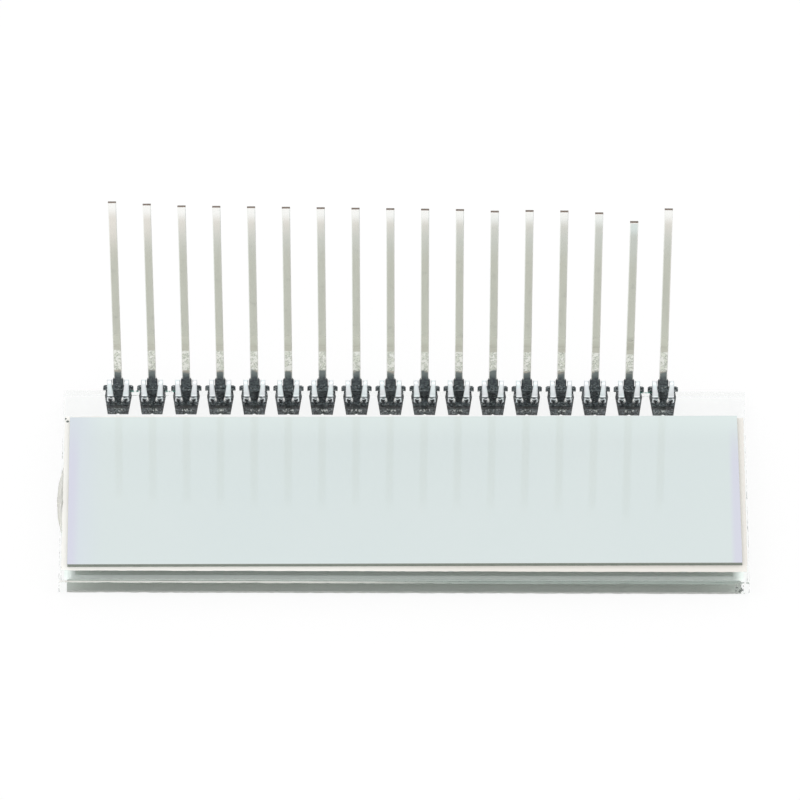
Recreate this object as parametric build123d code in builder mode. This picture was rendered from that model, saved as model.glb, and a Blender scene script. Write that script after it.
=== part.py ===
from build123d import *
from math import radians, tan
import os

# Segment liquid crystal display cell with one row of spring-clip pins.
# The cell lies face down: its viewing side is at the bottom (Z = 0), the near
# edge is at -Y, and the pins stand up along the bare contact ledge at +Y.

# ---------------------------------------------------------------- sizes (mm)

# glass plates
front_width = 50.8          # front plate, left to right
front_depth = 19.05         # front plate, near edge to the end face at the pins
glass_thickness = 1.1
ledge_depth = 3.6           # strip of front plate left bare for the contacts
rear_side_step = 0.175      # rear plate set in from each side of the front plate
rear_front_step = 0.2       # rear plate set back from the near edge

# cell gap: seal ring, filling port, liquid crystal, plate-to-plate dots
cell_gap = 0.01
seal_inset = 0.25           # seal ring in from the rear plate's edges
seal_width = 0.8
port_width = 3.0            # opening left in the seal for filling
port_position = 8.0         # middle of the port, from the near edge
dot_width = 0.7
dot_sides = 12
dot_inset = 4.0             # dots in from the ends of the far side of the seal

# resin bead that closes the filling port
plug_length = 7.0
plug_bulge = 0.45           # beyond the rear plate's edge
plug_height = 0.7
plug_slant = 40.0           # degrees, sides of the bead from upright
plug_steps = 4              # straight spans along its bowed back

# films
front_film_thickness = 0.25
front_film_side_margin = 0.6    # bare glass left at each side
front_film_end_margin = 0.35    # bare glass left at the near edge
front_film_ledge_margin = 0.1   # film stops short of the ledge
polariser_thickness = 0.2   # rear polariser
reflector_thickness = 0.1
rear_film_side_margin = 0.45
rear_film_end_margin = 0.38
rear_film_skew = 0.38       # degrees; the rear films are laminated askew
rear_film_shift = 0.15      # and towards the ledge

# contact pins, each blanked and folded from one strip
pin_count = 17
pin_pitch = 2.54
first_pin_inset = 4.07      # first pin from the left edge of the glass
sheet = 0.2                 # strip thickness
web_gap = 0.05              # web to the glass end face, and inner bend radius
web_width = 2.0
web_rise = 0.3              # top of the solid web above the ledge
ear_reach = 0.13            # ears beyond the web at each side
ear_height = 0.85
ear_slant = 0.12
jaw_reach = 1.77            # jaw under the glass, from the end face
jaw_tip_width = 1.54
nick_width = 0.3            # nick at the middle of the jaw's end
nick_depth = 0.1
crown_height = 0.8          # centre of the arms' upper bend above the ledge
crown_radius = 0.22         # to the middle of the strip
arm_slope = 54.0            # degrees, from the crown down to the foot
instep_radius = 0.18        # bend between the slope and the foot
arms_width = 1.63           # across both arms
slot_width = 0.92           # between the arms at the web
slot_straight = 0.35        # from the end face to where the arms begin to close in
toe_gap = 0.5               # between the feet
toe_corner = 0.16           # cut off each corner of a toe
foot_reach = 1.33           # toes from the glass end face
foot_clearance = 0.1        # under the feet, which stand on their dimples
dimple_sides = 8            # struck with an eight-sided punch
dimple_width = 0.38
dimple_slant = 35.0         # degrees, sides of the dimple from upright
dimple_depth = 0.16
dimple_inset = 0.25         # dimple centre from the toe
shoulder_width = 0.8        # root of the shank, between the arms
shoulder_rise = 0.95        # its top above the ledge
shoulder_taper = 0.25       # length of the taper down to the shank
shank_width = 0.6
shank_length = 17.0         # from the end of the taper to the tip
shank_overlap = 0.02        # where the leaning shank runs into its root

# The glass holds the clips a little open, so the shanks lean back from it, and
# they fan out slightly along the row. Handling has bent some of them further.
# All in degrees: back from the glass (+) or over it (-), to the right (+) or left (-).
middle_lean = 5.0           # backward lean of the middle pin
lean_change = -0.14         # from each pin to the next
bent_pins = {1: 1.2, 2: 0.5, 12: -0.4, 15: -0.5, 16: -3.4, 17: 1.3}
middle_skew = -0.25         # sideways lean of the middle pin
skew_change = 0.06          # from each pin to the next
tips_overhang = 2.4         # room behind the end face that the pins take up

# ---------------------------------------------------------- derived positions

# The origin is under the middle of the whole object, on its resting face.
left = -front_width / 2
near = -(front_depth + tips_overhang) / 2
end_face = near + front_depth

ledge_level = front_film_thickness + glass_thickness
rear_glass_base = ledge_level + cell_gap
rear_film_base = rear_glass_base + glass_thickness

rear_width = front_width - 2 * rear_side_step
rear_depth = front_depth - rear_front_step - ledge_depth
rear_left = left + rear_side_step
rear_near = near + rear_front_step
rear_middle = (0, rear_near + rear_depth / 2)
front_film_depth = (front_depth - ledge_depth
                    - front_film_end_margin - front_film_ledge_margin)

seal_outer = (rear_width - 2 * seal_inset, rear_depth - 2 * seal_inset)
seal_inner = (seal_outer[0] - 2 * seal_width, seal_outer[1] - 2 * seal_width)
seal_line = seal_inset + seal_width / 2
port_middle = near + port_position
dot_x = rear_width / 2 - seal_inset - dot_inset
dot_y = rear_near + rear_depth - seal_line

web_middle = web_gap + sheet / 2
web_outer = web_gap + sheet

os.makedirs("parts", exist_ok=True)


def save(sub_part, name):
    """Label a finished sub-part and write its STEP file."""
    sub_part.label = name
    export_step(sub_part, f"parts/{name}.step")


# ---------------------------------------------------------------- glass cell

with BuildPart() as front_polariser:
    with BuildSketch(Plane.XY):
        with Locations((0, near + front_film_end_margin)):
            Rectangle(front_width - 2 * front_film_side_margin, front_film_depth,
                      align=(Align.CENTER, Align.MIN))
    extrude(amount=front_film_thickness)
save(front_polariser.part, "front_polariser")

with BuildPart() as front_glass:
    with BuildSketch(Plane.XY.offset(front_film_thickness)):
        with Locations((0, near + front_depth / 2)):
            Rectangle(front_width, front_depth)
    extrude(amount=glass_thickness)
save(front_glass.part, "front_glass")

with BuildPart() as rear_glass:
    with BuildSketch(Plane.XY.offset(rear_glass_base)):
        with Locations(rear_middle):
            Rectangle(rear_width, rear_depth)
    extrude(amount=glass_thickness)
save(rear_glass.part, "rear_glass")

# The seal is one printed line of resin. Beside the filling port it turns
# outwards to the plate's edge, and two conductive dots interrupt its far side.
with BuildPart() as perimeter_seal:
    with BuildSketch(Plane.XY.offset(ledge_level)):
        with Locations(rear_middle):
            Rectangle(*seal_outer)
            Rectangle(*seal_inner, mode=Mode.SUBTRACT)
        with Locations((rear_left, port_middle)):
            Rectangle(seal_line, port_width + 2 * seal_width, align=(Align.MIN, Align.CENTER))
            Rectangle(seal_inset + seal_width, port_width, align=(Align.MIN, Align.CENTER),
                      mode=Mode.SUBTRACT)
        with Locations((-dot_x, dot_y), (dot_x, dot_y)):
            RegularPolygon(dot_width / 2, dot_sides, mode=Mode.SUBTRACT)
    extrude(amount=cell_gap)
save(perimeter_seal.part, "perimeter_seal")

with BuildPart() as liquid_crystal_layer:
    with BuildSketch(Plane.XY.offset(ledge_level)):
        with Locations(rear_middle):
            Rectangle(*seal_inner)
    extrude(amount=cell_gap)
save(liquid_crystal_layer.part, "liquid_crystal_layer")

with BuildPart() as common_transfer_dots:
    with BuildSketch(Plane.XY.offset(ledge_level)):
        with Locations((-dot_x, dot_y), (dot_x, dot_y)):
            RegularPolygon(dot_width / 2, dot_sides)
    extrude(amount=cell_gap)
save(common_transfer_dots.part, "common_transfer_dots")

# A slender drop of resin lies along the joint of the plates at the left. Inside,
# it has run through the port as far as the liquid crystal.
with BuildPart() as fill_port_plug:
    with BuildSketch(Plane.XY.offset(ledge_level)):
        with BuildLine():
            bow = ThreePointArc((rear_left, port_middle - plug_length / 2),
                                (rear_left - plug_bulge, port_middle),
                                (rear_left, port_middle + plug_length / 2),
                                mode=Mode.PRIVATE)
            Polyline([bow @ (step / plug_steps) for step in range(plug_steps + 1)], close=True)
        make_face()
        mirror(about=Plane.YZ.offset(rear_left))
    extrude(amount=plug_height / 2, taper=plug_slant)
    mirror(about=Plane.XY.offset(ledge_level))
    with BuildSketch(Plane.XY.offset(ledge_level)):
        with Locations((rear_left, port_middle)):
            Rectangle(plug_length, plug_length, align=(Align.MIN, Align.CENTER))
    extrude(amount=plug_length, mode=Mode.SUBTRACT)
    with BuildSketch(Plane.XY.offset(ledge_level)):
        with Locations((left, port_middle)):
            Rectangle(plug_length, plug_length, align=(Align.MIN, Align.CENTER))
    extrude(amount=-plug_length, mode=Mode.SUBTRACT)
    with BuildSketch(Plane.XY.offset(ledge_level)):
        with Locations((rear_left, port_middle)):
            Rectangle(seal_inset + seal_width, port_width, align=(Align.MIN, Align.CENTER))
    extrude(amount=cell_gap)
save(fill_port_plug.part, "fill_port_plug")


# ---------------------------------------------------------------- rear films

def rear_film(base, thickness):
    """Sheet of the rear film stack, laid slightly askew on the rear plate."""
    with BuildPart() as film:
        with BuildSketch(Plane.XY.offset(base)):
            with Locations((rear_middle[0], rear_middle[1] + rear_film_shift)):
                Rectangle(rear_width - 2 * rear_film_side_margin,
                          rear_depth - 2 * rear_film_end_margin, rotation=rear_film_skew)
        extrude(amount=thickness)
    return film.part


save(rear_film(rear_film_base, polariser_thickness), "rear_polariser")
save(rear_film(rear_film_base + polariser_thickness, reflector_thickness), "reflector_film")


# -------------------------------------------------------------- contact pins
# Each pin has its own frame on the far edge of the ledge: x to the right,
# y outwards from the glass, z up. The outlines below are drawn in that frame.

# side of the spring arms: up from the web, over the crown, down to the foot
half_turn = (90 + arm_slope) / 2
crown_corner = crown_height + crown_radius * tan(radians(half_turn))
foot_middle = foot_clearance + sheet / 2
instep = web_middle - (crown_corner - foot_middle) / tan(radians(arm_slope))

with BuildSketch() as arm_profile:
    with BuildLine():
        FilletPolyline((web_middle, web_rise), (web_middle, crown_corner),
                       (instep, foot_middle), (-foot_reach, foot_middle),
                       radius=[crown_radius, instep_radius])
    trace(line_width=sheet)

# right arm from above: it widens inwards to a toe with cut corners
with BuildSketch() as arm_plan:
    with BuildLine():
        Polyline((toe_gap / 2, toe_corner - foot_reach), (toe_gap / 2 + toe_corner, -foot_reach),
                 (arms_width / 2 - toe_corner, -foot_reach),
                 (arms_width / 2, toe_corner - foot_reach), (arms_width / 2, web_outer),
                 (slot_width / 2, web_outer), (slot_width / 2, -slot_straight), close=True)
    make_face()

# dimple in the foot of that arm
with BuildSketch() as dimple_outline:
    with Locations(((arms_width + toe_gap) / 4, dimple_inset - foot_reach)):
        RegularPolygon(dimple_width / 2, dimple_sides)

# web from outside, between the lower bend and the roots of the arms
bend_middle = web_gap - glass_thickness
ear_bottom = web_rise - ear_height
ear_side = web_width / 2 + ear_reach

with BuildSketch() as web_outline:
    with BuildLine():
        Polyline((0, bend_middle), (web_width / 2, bend_middle), (web_width / 2, ear_bottom),
                 (ear_side, ear_bottom), (ear_side, web_rise - ear_slant),
                 (web_width / 2, web_rise), (0, web_rise), close=True)
    make_face()
    mirror(about=Plane.YZ)

# root of the shank, which narrows above the arms
shank_base = shoulder_rise + shoulder_taper

with BuildSketch() as shoulder_outline:
    with BuildLine():
        Polyline((0, web_rise), (shoulder_width / 2, web_rise), (shoulder_width / 2, shoulder_rise),
                 (shank_width / 2, shank_base), (0, shank_base), close=True)
    make_face()
    mirror(about=Plane.YZ)

# quarter bend between the jaw and the web, from the side
with BuildSketch() as bend_profile:
    with BuildLine():
        inside = CenterArc((0, bend_middle), web_gap, -90, 90)
        outside = CenterArc((0, bend_middle), web_outer, -90, 90)
        Line(inside @ 0, outside @ 0)
        Line(inside @ 1, outside @ 1)
    make_face()

# jaw from above: it narrows towards its nicked end
with BuildSketch() as jaw_outline:
    with BuildLine():
        Polyline((0, 0), (web_width / 2, 0), (jaw_tip_width / 2, -jaw_reach),
                 (nick_width / 2, -jaw_reach), (0, nick_depth - jaw_reach), close=True)
    make_face()
    mirror(about=Plane.YZ)

for number in range(1, pin_count + 1):
    pin_x = left + first_pin_inset + (number - 1) * pin_pitch
    seat = Vector(pin_x, end_face, ledge_level)
    from_side = Plane(seat, x_dir=(0, 1, 0), z_dir=(1, 0, 0))
    from_front = Plane(seat, x_dir=(1, 0, 0), z_dir=(0, -1, 0))
    from_above = Plane(seat, x_dir=(1, 0, 0), z_dir=(0, 0, 1))
    place_in_row = number - (pin_count + 1) / 2
    lean = middle_lean + lean_change * place_in_row + bent_pins.get(number, 0)
    skew = middle_skew + skew_change * place_in_row
    shank_root = Plane(seat + Vector(0, web_middle, shank_base)).rotated((-lean, skew, 0))

    with BuildPart() as contact_pin:
        # right spring arm, with a contact dimple pressed down into its foot
        with BuildSketch(from_side):
            add(arm_profile.sketch)
        extrude(amount=arms_width / 2)
        with BuildSketch(from_above):
            add(arm_plan.sketch)
        extrude(amount=crown_height + 2 * crown_radius, mode=Mode.INTERSECT)
        with BuildSketch(from_above.offset(foot_clearance)):
            add(dimple_outline.sketch)
        extrude(amount=-foot_clearance, taper=dimple_slant)
        with BuildSketch(from_above.offset(foot_clearance + sheet)):
            add(dimple_outline.sketch)
        extrude(amount=-dimple_depth, taper=dimple_slant, mode=Mode.SUBTRACT)
        mirror(about=from_side)
        # web with its ears, and the root of the shank
        with BuildSketch(from_front.offset(-web_outer)):
            add(web_outline.sketch)
            add(shoulder_outline.sketch)
        extrude(amount=sheet)
        # lower bend and jaw
        with BuildSketch(from_side):
            add(bend_profile.sketch)
        extrude(amount=web_width / 2, both=True)
        with BuildSketch(from_above.offset(-glass_thickness)):
            add(jaw_outline.sketch)
        extrude(amount=-sheet)
        # shank, bent back at its root
        with BuildSketch(shank_root.offset(-shank_overlap)):
            Rectangle(shank_width, sheet)
        extrude(amount=shank_overlap + shank_length)
    save(contact_pin.part, f"contact_pin_{number:02d}")
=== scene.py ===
import math

import bmesh
import bpy
from mathutils import Matrix, Vector, noise


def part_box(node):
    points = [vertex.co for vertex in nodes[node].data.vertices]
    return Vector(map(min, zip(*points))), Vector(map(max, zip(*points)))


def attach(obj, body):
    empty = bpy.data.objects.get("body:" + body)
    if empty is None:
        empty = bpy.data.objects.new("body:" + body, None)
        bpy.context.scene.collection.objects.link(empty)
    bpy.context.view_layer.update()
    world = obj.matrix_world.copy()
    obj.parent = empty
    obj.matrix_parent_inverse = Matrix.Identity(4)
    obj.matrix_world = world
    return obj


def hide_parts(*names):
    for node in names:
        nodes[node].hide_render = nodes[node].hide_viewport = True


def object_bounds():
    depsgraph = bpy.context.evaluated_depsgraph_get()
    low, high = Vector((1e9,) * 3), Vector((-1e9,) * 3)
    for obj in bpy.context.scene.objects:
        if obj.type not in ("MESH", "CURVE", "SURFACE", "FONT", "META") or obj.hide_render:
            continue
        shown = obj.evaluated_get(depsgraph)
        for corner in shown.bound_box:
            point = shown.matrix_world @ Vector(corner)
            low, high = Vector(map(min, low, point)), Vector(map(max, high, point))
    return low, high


MM = 0.001

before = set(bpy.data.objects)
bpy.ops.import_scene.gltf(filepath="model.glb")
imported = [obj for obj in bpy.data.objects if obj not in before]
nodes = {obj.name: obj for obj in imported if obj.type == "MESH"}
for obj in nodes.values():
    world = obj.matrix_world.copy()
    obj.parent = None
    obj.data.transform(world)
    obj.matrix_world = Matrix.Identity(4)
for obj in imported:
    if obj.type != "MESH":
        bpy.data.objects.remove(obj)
cad_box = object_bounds()
pin_names = sorted(name for name in nodes if name.startswith("contact_pin_"))

glass_low, glass_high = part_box("front_glass")
rear_low, rear_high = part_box("rear_glass")
seal_low, seal_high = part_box("perimeter_seal")
film_low, film_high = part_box("reflector_film")
ledge_z = glass_high[2]
end_face = glass_high[1]
pin_pitch = 2.54 * MM
middle_pin = 9
pin_centre = sum(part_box("contact_pin_09")[side][0] for side in (0, 1)) / 2
bruised_gaps = (1, 2, 16)

# The glass is bonded to the films and the cell with no air between, so its faces lie a few
# thousandths of a millimetre inside them.
bond = 0.003 * MM

# Masks of the plates' faces fade out over this distance.
sharp = 0.002 * MM


def gap_after(number):
    """Middle of the bare rim between a pin and the next, on the far edge."""
    return (pin_centre + (number + 0.5 - middle_pin) * pin_pitch, end_face)


# ------------------------------------------------------------------- colours
# Linear red, green and blue, and alpha.

CLEAR = (0.985, 1.0, 0.993, 1)
FROSTED = (0.82, 0.93, 0.88, 1)
# Painted light on the glass's bare margins, lighter to the left, and painted grey shade at the foot
# of the near edge
PAINTED_LIGHT_LEFT = (1.0, 0.985, 0.94, 1)
PAINTED_LIGHT_RIGHT = (0.90, 0.865, 0.81, 1)
PAINTED_GREY_SHADE = (0.46, 0.53, 0.49, 1)
CHIP_GREEN = (0.06, 0.36, 0.27, 1)
CHIP_DEEP_GREEN = (0.02, 0.10, 0.09, 1)
CHIP_DARK = (0.16, 0.18, 0.17, 1)

SILVER_DARK = (0.635, 0.72, 0.72, 1)
SILVER_LIGHT = (0.665, 0.74, 0.735, 1)
SILVER_FAR = (0.70, 0.79, 0.78, 1)
SILVER_PAINTED_REFLECTION_LEFT = (0.64, 0.70, 0.76, 1)
SILVER_PAINTED_REFLECTION_ENDS = (0.63, 0.63, 0.755, 1)
SILVER_CUT = (0.2, 0.23, 0.2, 1)
REAR_FILM_DARK = (0.16, 0.19, 0.165, 1)
REAR_FILM_LIGHT = (0.26, 0.29, 0.25, 1)
FRONT_INNER_DARK = (0.60, 0.61, 0.58, 1)
FRONT_INNER_LIGHT = (0.66, 0.67, 0.64, 1)
FRONT_OUTER_DARK = (0.30, 0.345, 0.27, 1)
FRONT_OUTER_LIGHT = (0.33, 0.37, 0.29, 1)

SEAL_DARK = (0.90, 0.98, 0.95, 1)
SEAL_LIGHT = (0.93, 0.99, 0.97, 1)
CELL_DARK = (0.80, 0.88, 0.82, 1)
CELL_LIGHT = (0.84, 0.91, 0.86, 1)
DOT_DARK = (0.4, 0.4, 0.4, 1)
DOT_LIGHT = (0.6, 0.6, 0.6, 1)
BEAD_CLEAR = (1.0, 1.0, 0.97, 1)
BEAD_YELLOW = (0.97, 0.96, 0.88, 1)

TIN_DARK = (0.695, 0.645, 0.565, 1)
TIN_LIGHT = (0.795, 0.745, 0.66, 1)
TIN_BLOTCH = (0.61, 0.57, 0.51, 1)
TIN_PAINTED_SHEEN_UPPER = (0.79, 0.755, 0.70, 1)
TIN_PAINTED_SHEEN_TIP = (0.97, 0.965, 0.94, 1)
TIN_DULLED = (0.67, 0.66, 0.57, 1)
TIN_WORN_DARK = (0.86, 0.88, 0.78, 1)
TIN_WORN_LIGHT = (1.0, 1.0, 0.94, 1)
TIN_CRACK = (0.42, 0.45, 0.38, 1)
PAINTED_EDGE_WHITE = (0.98, 0.98, 0.94, 1)
ARM_LILAC = (0.89, 0.92, 0.94, 1)
ARM_BLUE = (0.88, 0.96, 0.97, 1)
PAINTED_FOOT_HIGHLIGHT = (1.0, 1.0, 0.98, 1)
BRONZE_CUT = (0.25, 0.205, 0.175, 1)

PASTE_DARK = (0.025, 0.032, 0.036, 1)
PASTE_LIGHT = (0.18, 0.215, 0.23, 1)
PASTE_SPECK = (0.62, 0.66, 0.66, 1)
PAINTED_PASTE_SHADE = (0.012, 0.014, 0.016, 1)
PAINTED_GLINT_WHITE = (0.92, 0.94, 0.92, 1)
PAINTED_DIMPLE_DARK = (0.015, 0.018, 0.02, 1)
PAINTED_RIM_GLINT = (0.6, 0.66, 0.66, 1)
STAIN_DARK = (0.05, 0.06, 0.075, 1)
STAIN_LIGHT = (0.135, 0.16, 0.16, 1)
STAIN_UPPER = (0.20, 0.235, 0.23, 1)

TABLE_MATT = (0.85, 0.85, 0.85, 1)
WHITE = (1, 1, 1, 1)

# ------------------------------------------------------------ shader helpers


def new_material(name):
    material = bpy.data.materials.new(name)
    material.use_nodes = True
    material.node_tree.nodes.clear()
    return material, material.node_tree


def add(tree, kind, inputs=None, out=0, **settings):
    """Adds a shader node, sets or links its inputs, and returns one of its outputs."""
    node = tree.nodes.new("ShaderNode" + kind)
    for key, value in settings.items():
        setattr(node, key, value)
    for key, value in (inputs or {}).items():
        if isinstance(value, bpy.types.NodeSocket):
            tree.links.new(value, node.inputs[key])
        else:
            node.inputs[key].default_value = value
    return node.outputs[out]


def calc(tree, operation, a, b=0.0, c=0.0):
    return add(tree, "Math", {0: a, 1: b, 2: c}, operation=operation)


def inverse(tree, mask):
    return calc(tree, "SUBTRACT", 1.0, mask)


def band(tree, value, low, high):
    """0 below low, 1 above high (or the other way round if low > high), smooth between."""
    if low > high:
        return inverse(tree, band(tree, value, high, low))
    return add(tree, "MapRange", {"Value": value, "From Min": low, "From Max": high},
               interpolation_type="SMOOTHSTEP")


def within(tree, value, low, high, soft):
    """1 between low and high, 0 outside them, smooth over soft."""
    return every(tree, band(tree, value, low - soft, low), band(tree, value, high + soft, high))


def every(tree, *masks):
    """Product of masks and shares."""
    result = masks[0]
    for mask in masks[1:]:
        result = calc(tree, "MULTIPLY", result, mask)
    return result


def either(tree, *masks):
    """Largest of masks."""
    result = masks[0]
    for mask in masks[1:]:
        result = calc(tree, "MAXIMUM", result, mask)
    return result


def blend(tree, amount, a, b):
    """Colour a where amount is 0, b where it is 1."""
    return add(tree, "Mix", {0: amount, 6: a, 7: b}, out=2, data_type="RGBA")


def place(tree):
    """Position in the object's own space, in metres."""
    return add(tree, "TexCoord", out="Object")


def parts(tree, vector):
    """The x, y and z of a vector."""
    return add(tree, "SeparateXYZ", {0: vector}).node.outputs[:]


def facing(tree):
    """The surface normal."""
    return add(tree, "NewGeometry", out="Normal")


def spot(tree, x, y, centre_x, centre_y, radius):
    """1 inside an upright cylinder, soft at its rim."""
    across, along = calc(tree, "SUBTRACT", x, centre_x), calc(tree, "SUBTRACT", y, centre_y)
    reach = calc(tree, "SQRT", calc(tree, "ADD", calc(tree, "MULTIPLY", across, across),
                                    calc(tree, "MULTIPLY", along, along)))
    return band(tree, reach, radius, radius * 0.85)


def at_top(tree, z, level):
    """1 on an upper face at that level and above it."""
    return band(tree, z, level - 0.02 * MM, level - 0.01 * MM)


def grain(tree, vector, size_mm, detail=3.0, roughness=0.5, stretch=(1, 1, 1)):
    """Noise from 0 to 1 whose features are about size_mm across."""
    if stretch != (1, 1, 1):
        vector = add(tree, "Mapping", {"Vector": vector, "Scale": stretch})
    return add(tree, "TexNoise", {"Vector": vector, "Scale": 1 / (size_mm * MM),
                                  "Detail": detail, "Roughness": roughness}, out="Fac")


def bump(tree, height, strength, distance_mm, **inputs):
    return add(tree, "Bump", {"Height": height, "Strength": strength,
                              "Distance": distance_mm * MM, **inputs})


def edge_tilt(tree, radius_mm):
    """How the surface normal would tilt over rounded edges: the vector, its length and its x."""
    edge = add(tree, "Bevel", {"Radius": radius_mm * MM}, samples=8)
    tilt = add(tree, "VectorMath", {0: edge, 1: facing(tree)}, operation="SUBTRACT")
    length = add(tree, "VectorMath", {0: tilt}, out="Value", operation="LENGTH")
    return tilt, length, parts(tree, tilt)[0]


def tilted(tree, tilt, share):
    """The surface normal, turned over the edges by that share of the tilt."""
    turn = add(tree, "VectorMath", {0: tilt, "Scale": share}, operation="SCALE")
    more = add(tree, "VectorMath", {0: turn, 1: facing(tree)})
    return add(tree, "VectorMath", {0: more}, operation="NORMALIZE")


def surface(tree, **inputs):
    """Principled surface, joined to the material's output."""
    named = {key.replace("_", " "): value for key, value in inputs.items()}
    add_output(tree, add(tree, "BsdfPrincipled", named))


def add_output(tree, shader):
    output = tree.nodes.new("ShaderNodeOutputMaterial")
    tree.links.new(shader, output.inputs["Surface"])


def assign(material, *names):
    for name in names:
        slots = nodes[name].data.materials
        slots.clear()
        slots.append(material)


# --------------------------------------------------------------------- glass


def bonded_faces(tree, x, y, z):
    """The levels at which the plates lie on the front film and on each other."""
    under = band(tree, z, glass_low[2] + 0.02 * MM, glass_low[2] + 0.01 * MM)
    joint = every(tree, within(tree, z, glass_high[2] - 0.02 * MM, rear_low[2] + 0.02 * MM, sharp),
                  within(tree, x, rear_low[0], rear_high[0], sharp),
                  within(tree, y, rear_low[1], rear_high[1], sharp))
    return either(tree, under, joint)


def painted_margin_light(tree, x, y, z, flat, edge):
    """Painted light on the bare margins: white on the rear plate's top and on the front plate's
    near step, and painted grey shade along the foot of the rear plate's near edge: its mask and its
    colour. The step's painted light greys to the right."""
    step = every(tree, band(tree, y, rear_low[1], rear_low[1] - sharp),
                 at_top(tree, z, glass_high[2]))
    near = band(tree, y, rear_low[1] + 0.15 * MM, rear_low[1] + 0.1 * MM)
    foot = every(tree, near,
                 within(tree, x, film_low[0] + 0.2 * MM, film_high[0] - 0.2 * MM, 0.1 * MM),
                 within(tree, z, rear_low[2] - 0.005 * MM, rear_low[2] + 0.15 * MM, 0.03 * MM))
    foot = every(tree, edge, foot)
    top = every(tree, flat, either(tree, at_top(tree, z, rear_high[2]), step))
    left = band(tree, x, 6 * MM, -8 * MM)
    grey = either(tree, foot, every(tree, step, inverse(tree, left)))
    colour = blend(tree, grey, blend(tree, left, PAINTED_LIGHT_RIGHT, PAINTED_LIGHT_LEFT), PAINTED_GREY_SHADE)
    return every(tree, either(tree, top, foot), 0.95), colour


def rim_chips(tree, vector, x, y, z):
    """Ragged green chips on the far rim, in the bruised gaps: their mask and their colour."""
    half_width = 0.5 * MM
    gaps = either(tree, *[within(tree, x, gap_after(number)[0] - half_width,
                                 gap_after(number)[0] + half_width, 0.1 * MM)
                          for number in bruised_gaps])
    shards = grain(tree, vector, 0.16, 3.0, 0.6, (1, 0.5, 0.5))
    mask = every(tree, gaps, band(tree, y, end_face - 0.2 * MM, end_face - 0.15 * MM),
                 band(tree, z, ledge_z - 0.4 * MM, ledge_z - 0.3 * MM),
                 band(tree, shards, 0.5, 0.54))
    return mask, blend(tree, band(tree, shards, 0.54, 0.66), CHIP_GREEN, CHIP_DEEP_GREEN)


def corner_chips(tree, vector, x, y, z):
    """Dark chips at two corners: far left on the rear plate, near right on the front plate."""
    far_left = either(tree, spot(tree, x, y, film_low[0] - 0.34 * MM, film_high[1] - 0.21 * MM,
                                 0.10 * MM),
                      spot(tree, x, y, film_low[0] - 0.18 * MM, film_high[1] - 0.48 * MM,
                           0.12 * MM))
    far_left = every(tree, far_left, at_top(tree, z, rear_high[2]))
    shards = grain(tree, vector, 0.14, 3.0, 0.6, (1, 1, 0.4))
    near_right = every(tree, within(tree, x, glass_high[0] - 1.0 * MM, glass_high[0] - 0.5 * MM,
                                    0.1 * MM),
                       band(tree, y, glass_low[1] + 0.2 * MM, glass_low[1] + 0.1 * MM),
                       band(tree, z, glass_high[2], glass_high[2] - 0.1 * MM),
                       band(tree, shards, 0.52, 0.56))
    return either(tree, far_left, near_right)


def clear_glass():
    """Clear soda-lime glass. Its edges are broken along a scribed line, left frosted there.
    The faces that lie on the front film or on the other plate let light straight through."""
    material, tree = new_material("clear_glass")
    vector = place(tree)
    x, y, z = parts(tree, vector)
    flatness = calc(tree, "ABSOLUTE", parts(tree, facing(tree))[2])
    flat = band(tree, flatness, 0.75, 0.9)
    edge = band(tree, flatness, 0.75, 0.35)
    hidden = every(tree, flat, bonded_faces(tree, x, y, z))

    ragged = band(tree, grain(tree, vector, 0.25, 4.0, 0.7), 0.56, 0.66)
    chipped = within(tree, flatness, 0.2, 0.8, 0.1)
    frost = either(tree, every(tree, edge, ragged), every(tree, chipped, 0.6))
    # painted light on the bare margins and painted grey shade at the foot of the near edge
    painted_light, painted_light_colour = painted_margin_light(tree, x, y, z, flat, edge)
    rim, green = rim_chips(tree, vector, x, y, z)
    dark = corner_chips(tree, vector, x, y, z)

    colour = blend(tree, frost, CLEAR, FROSTED)
    colour = blend(tree, painted_light, colour, painted_light_colour)
    colour = blend(tree, rim, colour, green)
    colour = blend(tree, dark, colour, CHIP_DARK)
    solid = either(tree, painted_light, every(tree, rim, 0.85), every(tree, dark, 0.8))
    ripple = every(tree, grain(tree, vector, 0.5, 2.0), edge)
    surface(tree, Base_Color=colour, Roughness=calc(tree, "MULTIPLY", frost, 0.25), IOR=1.5,
            Transmission_Weight=inverse(tree, solid), Alpha=inverse(tree, hidden),
            Normal=bump(tree, ripple, 0.15, 0.02))
    return material


# ----------------------------------------------------------- films and resins


def reflector():
    """Silvery white backing film: paler along its far edge, bluer towards its left and right
    ends as a painted reflection of the surroundings, and dark where it is cut."""
    material, tree = new_material("reflector_film")
    vector = place(tree)
    x, y = parts(tree, vector)[:2]
    tone = blend(tree, grain(tree, vector, 9.0, 2.0), SILVER_DARK, SILVER_LIGHT)
    far = band(tree, y, film_high[1] - 3 * MM, film_high[1])
    tone = blend(tree, far, tone, SILVER_FAR)
    # painted reflection of the bluish surroundings: bluer towards the left and at both ends
    left = band(tree, x, film_low[0] + 3 * MM, film_low[0])
    tone = blend(tree, left, tone, SILVER_PAINTED_REFLECTION_LEFT)
    ends = either(tree, band(tree, x, film_low[0] + 1.0 * MM, film_low[0] + 0.3 * MM),
                  band(tree, x, film_high[0] - 0.9 * MM, film_high[0] - 0.4 * MM))
    near = band(tree, y, film_high[1], film_high[1] - 5 * MM)
    tone = blend(tree, every(tree, ends, near, 0.8), tone, SILVER_PAINTED_REFLECTION_ENDS)
    side = band(tree, parts(tree, facing(tree))[2], 0.6, 0.3)
    tone = blend(tree, side, tone, SILVER_CUT)
    surface(tree, Base_Color=tone, Roughness=0.04, IOR=2.0,
            Normal=bump(tree, grain(tree, vector, 0.12, 2.0), 0.05, 0.004))
    return material


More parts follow.
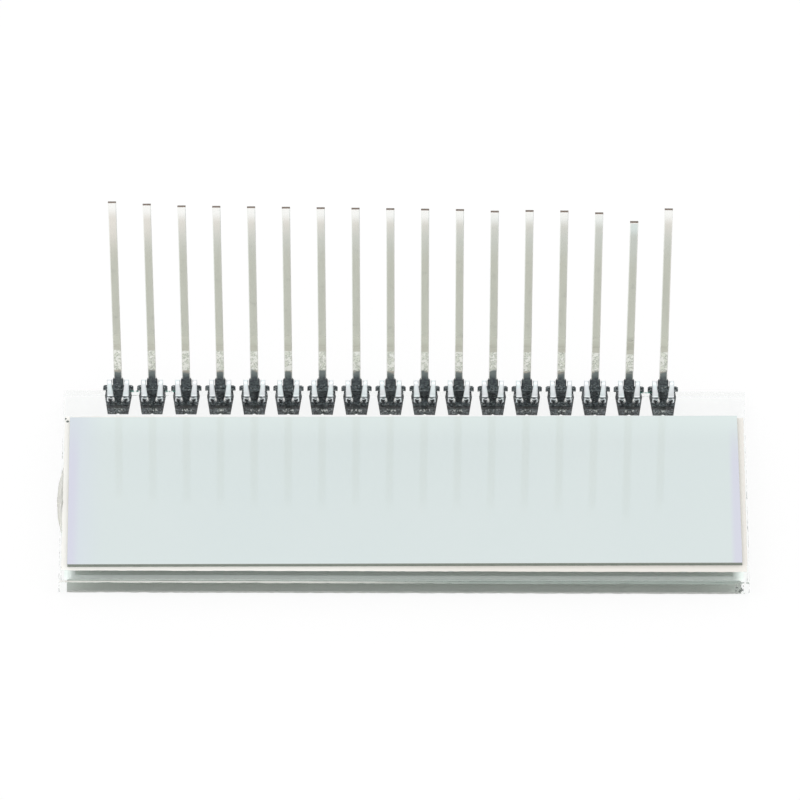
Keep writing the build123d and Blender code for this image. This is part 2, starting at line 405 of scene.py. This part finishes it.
def rear_polariser():
    """Dark film under the reflector; only its cut edges show."""
    material, tree = new_material("rear_polariser_film")
    mottle = grain(tree, place(tree), 0.3, 3.0)
    surface(tree, Base_Color=blend(tree, mottle, REAR_FILM_DARK, REAR_FILM_LIGHT),
            Roughness=0.35, IOR=1.49)
    return material


def front_polariser():
    """Neutral grey film; its outer face is glossy and looks grey-green with the cell behind it."""
    material, tree = new_material("front_polariser_film")
    vector = place(tree)
    cloud = grain(tree, vector, 6.0, 3.0)
    inner = blend(tree, cloud, FRONT_INNER_DARK, FRONT_INNER_LIGHT)
    outer = blend(tree, cloud, FRONT_OUTER_DARK, FRONT_OUTER_LIGHT)
    under = band(tree, parts(tree, facing(tree))[2], -0.4, -0.8)
    scratch = grain(tree, vector, 0.4, 3.0, 0.6, (1, 0.06, 1))
    surface(tree, Base_Color=blend(tree, under, inner, outer),
            Roughness=add(tree, "MapRange", {"Value": scratch, "To Min": 0.12, "To Max": 0.24}),
            IOR=1.49, Normal=bump(tree, scratch, 0.03, 0.004))
    return material


def plain_resin(name, dark, light, size_mm, roughness, glow=0.0, end_glow=0.0):
    """Even layer with fine specks. Its glow is painted light, standing in for the daylight that its
    thinness lets in, and end_glow is more painted light near its left and right ends, for what more
    comes in there."""
    material, tree = new_material(name)
    vector = place(tree)
    speck = grain(tree, vector, size_mm, 4.0, 0.6)
    tone = blend(tree, speck, dark, light)
    half_length = (seal_high[0] - seal_low[0]) / 2
    from_middle = calc(tree, "ABSOLUTE", parts(tree, vector)[0])
    ends = band(tree, from_middle, half_length - 0.9 * MM, half_length - 0.2 * MM)
    strength = calc(tree, "ADD", calc(tree, "MULTIPLY", ends, end_glow), glow)
    surface(tree, Base_Color=tone, Roughness=roughness, Emission_Color=tone,
            Emission_Strength=strength, Normal=bump(tree, speck, 0.2, 0.01))
    return material


def end_seal():
    """Cured clear resin bead."""
    material, tree = new_material("end_seal_resin")
    lump = grain(tree, place(tree), 0.8, 3.0)
    surface(tree, Base_Color=blend(tree, lump, BEAD_CLEAR, BEAD_YELLOW), Roughness=0.15,
            Transmission_Weight=0.5, IOR=1.4, Normal=bump(tree, lump, 0.3, 0.04))
    return material


# ---------------------------------------------------------------------- pins
# Places on a pin are given by z, the height above the table; inward, the depth in from the
# glass's end face; and off, the distance from the pin's middle.

jaw_top = 0.3 * MM
toe_start = 0.85 * MM
foot_top = 1.7 * MM
arm_top = 2.6 * MM
root_top = 3.2 * MM
patch_low, patch_high = 3.5 * MM, 5.3 * MM
dulled_low, dulled_high = 5.4 * MM, 6.7 * MM


def shank_plate(tree, z, streak, blotch):
    """Tin plate with long faint draw marks and blotches, paler towards the tip as a painted
    reflection.
    """
    plate = blend(tree, streak, TIN_DARK, TIN_LIGHT)
    plate = blend(tree, band(tree, blotch, 0.55, 0.8), plate, TIN_BLOTCH)
    # painted reflection: the plate paler towards the tip
    plate = blend(tree, band(tree, z, 14 * MM, 17.5 * MM), plate, TIN_PAINTED_SHEEN_UPPER)
    return blend(tree, band(tree, z, 17.9 * MM, 19.1 * MM), plate, TIN_PAINTED_SHEEN_TIP)


def worn_white(tree, vector):
    """Tin worn white by handling, with fine cracks."""
    mottle = grain(tree, vector, 0.3, 4.0, 0.7)
    worn = blend(tree, band(tree, mottle, 0.42, 0.6), TIN_WORN_DARK, TIN_WORN_LIGHT)
    from_crack = calc(tree, "ABSOLUTE", calc(tree, "SUBTRACT", mottle, 0.47))
    return blend(tree, band(tree, from_crack, 0.03, 0.01), worn, TIN_CRACK)


def arm_mask(tree, z, off, inward):
    beside_root = either(tree, band(tree, off, 0.4 * MM, 0.46 * MM),
                         band(tree, inward, 0.3 * MM, 0.36 * MM))
    return every(tree, band(tree, z, arm_top + 0.4 * MM, arm_top), beside_root)


def root_mask(tree, y, z, off, blotch):
    """The shank's root between the arms; its upper limit is ragged."""
    ragged = calc(tree, "MULTIPLY", calc(tree, "SUBTRACT", blotch, 0.5), 1.2 * MM)
    level = calc(tree, "ADD", z, ragged)
    return every(tree, band(tree, off, 0.47 * MM, 0.42 * MM),
                 band(tree, level, root_top + 0.3 * MM, root_top),
                 band(tree, y, end_face - 0.15 * MM, end_face))


def paste_with_painted_light(tree, vector, z, off, inward, web, jaw):
    """Conductive paste with light flecks, and painted light on it: painted shade darkest inside the
    clip and under the toes, a row of painted glints near the jaw's end, and a plain grey stain on
    the root."""
    mottled = band(tree, grain(tree, vector, 0.2, 3.0, 0.7), 0.38, 0.62)
    dark = blend(tree, mottled, PASTE_DARK, PASTE_LIGHT)
    speck = band(tree, grain(tree, vector, 0.14, 3.0, 0.7), 0.58, 0.64)
    dark = blend(tree, speck, dark, PASTE_SPECK)
    # painted shade inside the clip and a painted shadow under the toes
    painted_inner_shade = every(tree, band(tree, off, 0.3 * MM, 0.2 * MM),
                 either(tree, every(tree, web, band(tree, z, 1.1 * MM, 0.9 * MM)),
                        every(tree, jaw, band(tree, inward, 0.6 * MM, 0.4 * MM))))
    dark = blend(tree, every(tree, painted_inner_shade, 0.45), dark, PAINTED_PASTE_SHADE)
    painted_toe_shadow = every(tree, jaw, within(tree, inward, 0.97 * MM, 1.18 * MM, 0.1 * MM))
    dark = blend(tree, every(tree, painted_toe_shadow, 0.75), dark, PAINTED_PASTE_SHADE)
    # painted glints: a row of short bright dashes near the jaw's end
    glint_row_noise = grain(tree, vector, 0.13, 2.0, 0.5, (1, 0.5, 1))
    painted_glint_row = every(tree, jaw, within(tree, inward, 1.32 * MM, 1.52 * MM, 0.05 * MM),
                  band(tree, off, 0.45 * MM, 0.35 * MM), band(tree, glint_row_noise, 0.53, 0.57))
    dark = blend(tree, painted_glint_row, dark, PAINTED_GLINT_WHITE)
    stain = blend(tree, mottled, STAIN_DARK, STAIN_LIGHT)
    shade = blend(tree, band(tree, z, foot_top, 2.3 * MM), dark, stain)
    return blend(tree, band(tree, z, arm_top, root_top), shade, STAIN_UPPER)


def painted_edge_highlights(tree, z, tilt_size, tilt_x, cut):
    """Painted highlights: the shank's rounded edges painted white where they would reflect the
    white surroundings, the left one more as light falls from the left, and the right one low down.
    """
    shank = band(tree, z, 2.5 * MM, 2.7 * MM)
    low = band(tree, z, 3.9 * MM, 3.3 * MM)
    left = band(tree, tilt_x, -0.05, -0.25)
    right = band(tree, tilt_x, 0.05, 0.25)
    all_round = band(tree, tilt_size, 0.01, 0.1)
    painted_edge_highlight = either(tree, left, every(tree, right, low), every(tree, right, 0.45),
                    every(tree, all_round, 0.22))
    return every(tree, painted_edge_highlight, shank, inverse(tree, cut))


def tinned_strip():
    """Bright tin plate, marked by handling, over bronze strip. The clip that grips the glass
    and the root of the shank carry dark conductive paste; the tip is cut through the plating."""
    material, tree = new_material("tinned_strip")
    vector = place(tree)
    x, y, z = parts(tree, vector)
    ny, nz = parts(tree, facing(tree))[1:]
    # x is counted from a place well to the left of the pins, because PINGPONG mirrors at zero
    from_left = calc(tree, "SUBTRACT", x, pin_centre - 40 * pin_pitch)
    off = calc(tree, "PINGPONG", from_left, pin_pitch / 2)
    inward = calc(tree, "SUBTRACT", end_face, y)
    streak = grain(tree, vector, 0.35, 3.0, 0.6, (1, 1, 0.08))
    blotch = grain(tree, vector, 0.9, 4.0, 0.6)

    # bare plate, handled just above the root: dulled, then worn white
    plate = shank_plate(tree, z, streak, blotch)
    dulled = within(tree, z, dulled_low, dulled_high, 0.3 * MM)
    plate = blend(tree, dulled, plate, TIN_DULLED)
    patch = within(tree, z, patch_low, patch_high, 0.15 * MM)
    plate = blend(tree, patch, plate, worn_white(tree, vector))
    arm = arm_mask(tree, z, off, inward)
    plate = blend(tree, arm, plate, blend(tree, band(tree, blotch, 0.4, 0.6), ARM_LILAC, ARM_BLUE))

    # paste on root, web and jaw, and painted shade in the dimples, on the creases and on the toes'
    # ends
    root = root_mask(tree, y, z, off, blotch)
    web = every(tree, band(tree, y, end_face - 0.01 * MM, end_face + 0.02 * MM),
                band(tree, z, ledge_z + 0.34 * MM, ledge_z + 0.3 * MM))
    jaw = band(tree, z, jaw_top + 0.1 * MM, jaw_top)
    foot = every(tree, band(tree, inward, toe_start - 0.05 * MM, toe_start),
                 band(tree, z, foot_top + 0.05 * MM, foot_top),
                 band(tree, z, ledge_z - 0.05 * MM, ledge_z))
    painted_dimple_shade = every(tree, foot, spot(tree, off, inward, 0.56 * MM, 1.18 * MM, 0.18 * MM))
    painted_crease_shade = every(tree, within(tree, inward, 0.87 * MM, 0.96 * MM, 0.04 * MM), foot, 0.9)
    painted_toe_end_shade = every(tree, foot, band(tree, ny, -0.5, -0.8),
                    band(tree, inward, 1.2 * MM, 1.3 * MM))
    # the paste mask also carries the painted shade of the dimples, creases and toe ends
    paste = either(tree, root, web, jaw, painted_dimple_shade, painted_crease_shade, painted_toe_end_shade)
    # painted highlight: the inner half of each foot painted white
    painted_foot_highlight = every(tree, foot, band(tree, off, 0.42 * MM, 0.36 * MM), 0.9)
    # painted glint: the glass's far rim catching light, as a light line across the web
    glint = every(tree, within(tree, z, ledge_z, ledge_z + 0.04 * MM, 0.03 * MM), web, 0.25)
    cut = every(tree, band(tree, nz, 0.6, 0.8), band(tree, z, 15 * MM, 16 * MM))
    tilt, tilt_size, tilt_x = edge_tilt(tree, 0.12)
    # painted highlights along the shank's edges
    painted_edge_highlight = painted_edge_highlights(tree, z, tilt_size, tilt_x, cut)
    outside_edge_highlight = inverse(tree, painted_edge_highlight)

    shade = paste_with_painted_light(tree, vector, z, off, inward, web, jaw)
    colour = blend(tree, paste, blend(tree, painted_foot_highlight, plate, PAINTED_FOOT_HIGHLIGHT), shade)
    colour = blend(tree, glint, colour, PAINTED_RIM_GLINT)
    colour = blend(tree, painted_dimple_shade, colour, PAINTED_DIMPLE_DARK)
    colour = blend(tree, cut, colour, BRONZE_CUT)
    colour = blend(tree, painted_edge_highlight, colour, PAINTED_EDGE_WHITE)
    paste_wear_and_highlight = either(tree, paste, patch, painted_foot_highlight, every(tree, dulled, 0.75))
    metal = every(tree, inverse(tree, paste_wear_and_highlight), outside_edge_highlight)

    handled = within(tree, z, 3.4 * MM, 5.4 * MM, 0.9 * MM)
    rough = add(tree, "MapRange", {"Value": blotch, "To Min": 0.1, "To Max": 0.2})
    rough = either(tree, rough, every(tree, arm, 0.3),
                   every(tree, either(tree, paste, handled), 0.6))
    height = calc(tree, "ADD", streak, calc(tree, "MULTIPLY", blotch, 0.6))
    normal = tilted(tree, tilt, calc(tree, "MULTIPLY", outside_edge_highlight, 2.2))
    surface(tree, Base_Color=colour, Metallic=metal, Roughness=rough,
            Normal=bump(tree, height, 0.12, 0.012, Normal=normal))
    return material


glass = clear_glass()
assign(reflector(), "reflector_film")
assign(rear_polariser(), "rear_polariser")
assign(front_polariser(), "front_polariser")
assign(plain_resin("seal_resin", SEAL_DARK, SEAL_LIGHT, size_mm=0.5, roughness=0.5, glow=0.20,
                   end_glow=0.5), "perimeter_seal")
assign(plain_resin("liquid_crystal", CELL_DARK, CELL_LIGHT, size_mm=2.0, roughness=0.3,
                   glow=0.08), "liquid_crystal_layer")
assign(plain_resin("conductive_resin", DOT_DARK, DOT_LIGHT, size_mm=0.1, roughness=0.5),
       "common_transfer_dots")
assign(end_seal(), "fill_port_plug")
assign(tinned_strip(), *pin_names)

# -------------------------------------------------------------- glass plates


def plate_outline(low, high):
    """Points along a plate's edge in steps of about 0.15 mm, each with its way inward."""
    step = 0.15 * MM
    (x0, y0, _), (x1, y1, _) = low, high
    nx, ny = round((x1 - x0) / step), round((y1 - y0) / step)
    outline = [(x0 + (x1 - x0) * i / nx, y0, 0, 1) for i in range(nx)]
    outline += [(x1, y0 + (y1 - y0) * i / ny, -1, 0) for i in range(ny)]
    outline += [(x1 - (x1 - x0) * i / nx, y1, 0, -1) for i in range(nx)]
    outline += [(x0, y1 - (y1 - y0) * i / ny, 1, 0) for i in range(ny)]
    corners = {0: (1, 1), nx: (-1, 1), nx + ny: (-1, -1), 2 * nx + ny: (1, -1)}
    return [(x, y, *corners.get(count, (ix, iy))) for count, (x, y, ix, iy) in enumerate(outline)]


def glass_plate(name, node, low, high, bruises):
    """A cut plate whose broken edges wander a little and whose rims are finely chipped.
    Each bruise is a spot (x, y), its radius and the depth of its chips."""
    rim, wander_depth, upper_share = 0.035 * MM, 0.012 * MM, 1.3
    wander_rate, chip_rate, splinter_rate = 350, 2600, 5200
    levels = [(low[2], 1.0), (low[2] + rim, 0.0), (high[2] - rim, 0.0), (high[2], upper_share)]
    mesh = bmesh.new()
    rings = []
    for level, share in levels:
        ring = []
        for x, y, ix, iy in plate_outline(low, high):
            point = Vector((x, y, level))
            wander = wander_depth * (1 + noise.noise(point * wander_rate))
            chip = max(0.0, 0.25 + noise.noise(point * chip_rate)) * rim * share
            for (centre_x, centre_y), radius, depth in bruises:
                away = math.hypot(x - centre_x, y - centre_y) / radius
                splinter = abs(noise.noise(point * splinter_rate))
                chip += max(0.0, 1 - away) * splinter * depth * share
            inward = wander + chip
            ring.append(mesh.verts.new((x + ix * inward, y + iy * inward, level)))
        rings.append(ring)
    for lower, upper in zip(rings, rings[1:]):
        for i in range(len(lower)):
            j = (i + 1) % len(lower)
            mesh.faces.new((lower[i], lower[j], upper[j], upper[i]))
    mesh.faces.new(list(reversed(rings[0])))
    mesh.faces.new(rings[-1])
    data = bpy.data.meshes.new(name)
    mesh.to_mesh(data)
    mesh.free()
    piece = bpy.data.objects.new(name, data)
    bpy.context.collection.objects.link(piece)
    data.materials.append(glass)
    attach(piece, "root")
    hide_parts(node)


glass_plate("front_glass_plate", "front_glass",
            (glass_low[0], glass_low[1], glass_low[2] - bond),
            (glass_high[0], glass_high[1], glass_high[2] + bond),
            [(gap_after(number), 0.5 * MM, 0.5 * MM) for number in bruised_gaps]
            + [((glass_low[0], glass_low[1]), 0.9 * MM, 0.5 * MM),
               ((glass_high[0] - 0.6 * MM, glass_low[1]), 1.0 * MM, 0.6 * MM)])
glass_plate("rear_glass_plate", "rear_glass",
            (rear_low[0], rear_low[1], rear_low[2] - bond),
            (rear_high[0], rear_high[1], rear_high[2] + bond),
            [((rear_low[0], rear_high[1]), 0.6 * MM, 0.4 * MM),
             ((rear_low[0], rear_low[1]), 0.7 * MM, 0.5 * MM),
             ((rear_high[0], rear_low[1]), 0.7 * MM, 0.4 * MM)])

# --------------------------------------------------------------------- stage


def make_table():
    """White table: seen as white, and it keeps a share of the object's shadow."""
    material, tree = new_material("table_white")
    rays = add(tree, "LightPath").node.outputs
    seen = either(tree, rays["Is Camera Ray"], rays["Is Glossy Ray"], rays["Is Transmission Ray"])
    matt = add(tree, "BsdfDiffuse", {"Color": TABLE_MATT})
    white = add(tree, "Emission", {"Color": WHITE, "Strength": 1.03})
    add_output(tree, add(tree, "MixShader", {0: every(tree, seen, 0.85), 1: matt, 2: white}))
    half = 3.0
    under = cad_box[0][2] - 0.02 * MM
    data = bpy.data.meshes.new("table")
    data.from_pydata([(-half, -half, under), (half, -half, under), (half, half, under),
                      (-half, half, under)], [], [(0, 1, 2, 3)])
    table = bpy.data.objects.new("table", data)
    bpy.context.collection.objects.link(table)
    data.materials.append(material)


make_table()

world = bpy.data.worlds.new("studio")
world.use_nodes = True
background = world.node_tree.nodes["Background"]
background.inputs["Color"].default_value = WHITE
background.inputs["Strength"].default_value = 0.95
bpy.context.scene.world = world

lamp = bpy.data.lights.new("overhead", "AREA")
lamp.shape = "SQUARE"
lamp.size = 0.6
lamp.energy = 0.6
lamp_object = bpy.data.objects.new("overhead", lamp)
lamp_object.location = (-0.15, 0.0, 0.7)
lamp_object.rotation_euler = (-Vector(lamp_object.location)).to_track_quat("-Z", "Y").to_euler()
bpy.context.collection.objects.link(lamp_object)

# -------------------------------------------------------------------- camera

elevation, roll, yaw = (math.radians(angle) for angle in (47.996, 0.3113, 0.2238))
target = Vector((glass_low[0] + 25.0986 * MM, glass_low[1] + 19.3528 * MM, 0.0))
distance = 803.70 * MM
forward = Vector((math.sin(yaw) * math.cos(elevation), math.cos(yaw) * math.cos(elevation),
                  -math.sin(elevation)))
level = Vector((math.cos(yaw), -math.sin(yaw), 0))
upright = level.cross(forward)
right = level * math.cos(roll) + upright * math.sin(roll)
up = upright * math.cos(roll) - level * math.sin(roll)

camera = bpy.data.cameras.new("camera")
camera.sensor_width = 36.0
camera.lens = 483.9
camera.clip_start = 0.01
camera_object = bpy.data.objects.new("camera", camera)
turn = Matrix((right, up, -forward)).transposed().to_4x4()
camera_object.matrix_world = Matrix.Translation(target - forward * distance) @ turn
bpy.context.collection.objects.link(camera_object)
bpy.context.scene.camera = camera_object

bpy.context.scene.view_settings.view_transform = "Standard"
